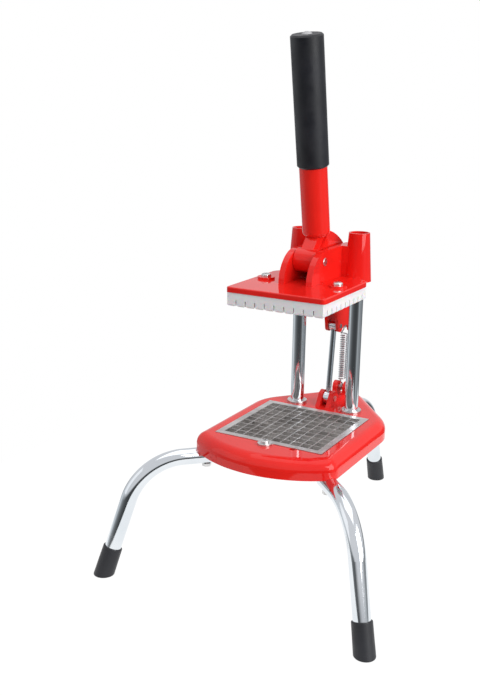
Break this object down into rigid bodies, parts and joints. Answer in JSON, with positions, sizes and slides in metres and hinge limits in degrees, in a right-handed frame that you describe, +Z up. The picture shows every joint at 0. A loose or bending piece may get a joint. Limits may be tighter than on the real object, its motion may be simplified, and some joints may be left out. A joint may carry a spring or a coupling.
{
  "type": "french fry cutter",
  "caption": "Lever-operated french fry cutter on bent tube legs: pulling the handle slides a pegged pusher down guide columns and forces a potato through a square blade grid.",
  "frame": {"origin": "on the floor, under the middle of the whole part's bounding box", "axes": "+Z up along the columns, +X to the right of the user who stands at -Y, +Y away from the user towards the columns and the rear leg"},
  "size_m": [0.2946, 0.3864, 0.512],
  "materials": {
    "red_enamel": "high gloss enamel on cast aluminium",
    "chrome_plate": "polished",
    "stainless_grid": "satin",
    "bright_zinc": "bright plated",
    "spring_wire": "bright drawn wire",
    "black_rubber": "satin",
    "white_nylon": "satin",
    "bush_plastic": "satin",
    "grey_cap": "satin"
  },
  "bodies": {
    "base": {"base_casting": "red_enamel", "blade_frame": "stainless_grid", "blades_lengthwise": "stainless_grid", "blades_crosswise": "stainless_grid", "cassette_clip": "bright_zinc", "cassette_screw": "bright_zinc", "column_left": "chrome_plate", "column_right": "chrome_plate", "column_collars": "bright_zinc", "column_bolts": "bright_zinc", "column_top_washers": "bright_zinc", "column_top_screws": "bright_zinc", "leg_left": "chrome_plate", "leg_right": "chrome_plate", "leg_rear": "chrome_plate", "boot_left": "black_rubber", "boot_right": "black_rubber", "boot_rear": "black_rubber", "leg_bolts": "bright_zinc", "link_pin": "bright_zinc", "spring_foot_pin": "bright_zinc", "return_spring": "spring_wire"},
    "head": {"head_casting": "red_enamel", "bush_left": "bush_plastic", "bush_right": "bush_plastic", "pusher": "white_nylon", "pusher_screws": "bright_zinc", "pivot_pin": "bright_zinc"},
    "lever": {"lever": "red_enamel", "grip": "black_rubber", "grip_button": "grey_cap", "tail_pin_ends": "bright_zinc", "spring_pin_ends": "bright_zinc"},
    "link": {"link": "chrome_plate", "link_spacers": "bright_zinc", "tail_pin_core": "bright_zinc"},
    "spring_end": {"spring_pin_core": "bright_zinc"}
  },
  "joints": [
    {"name": "head_slide", "type": "slide", "parent": "base", "child": "head", "axis": [0, 0, -1], "range_m": [0, 0.13], "stiffness_N_per_m": 450, "springref_m": -0.09},
    {"name": "lever_pivot", "type": "hinge", "parent": "head", "child": "lever", "pos_m": [0, -0.03124, 0.3025], "axis": [1, 0, 0], "range_deg": [0, 74.39]},
    {"name": "link_tilt", "type": "hinge", "parent": "base", "child": "link", "pos_m": [0, 0.02816, 0.147], "axis": [1, 0, 0], "range_deg": [-20.36, 0]},
    {"name": "spring_stretch", "type": "slide", "parent": "base", "child": "spring_end", "axis": [0, 0.4204, 0.9074], "range_m": [0, 0.02642], "deforming": ["return_spring"]}
  ],
  "couplings": [
    {"joint": "lever_pivot", "follows": "head_slide", "rad_per_m": 9.9865},
    {"joint": "link_tilt", "follows": "head_slide", "rad_per_m": -2.7323},
    {"joint": "spring_stretch", "follows": "head_slide", "ratio": 0.20319}
  ]
}
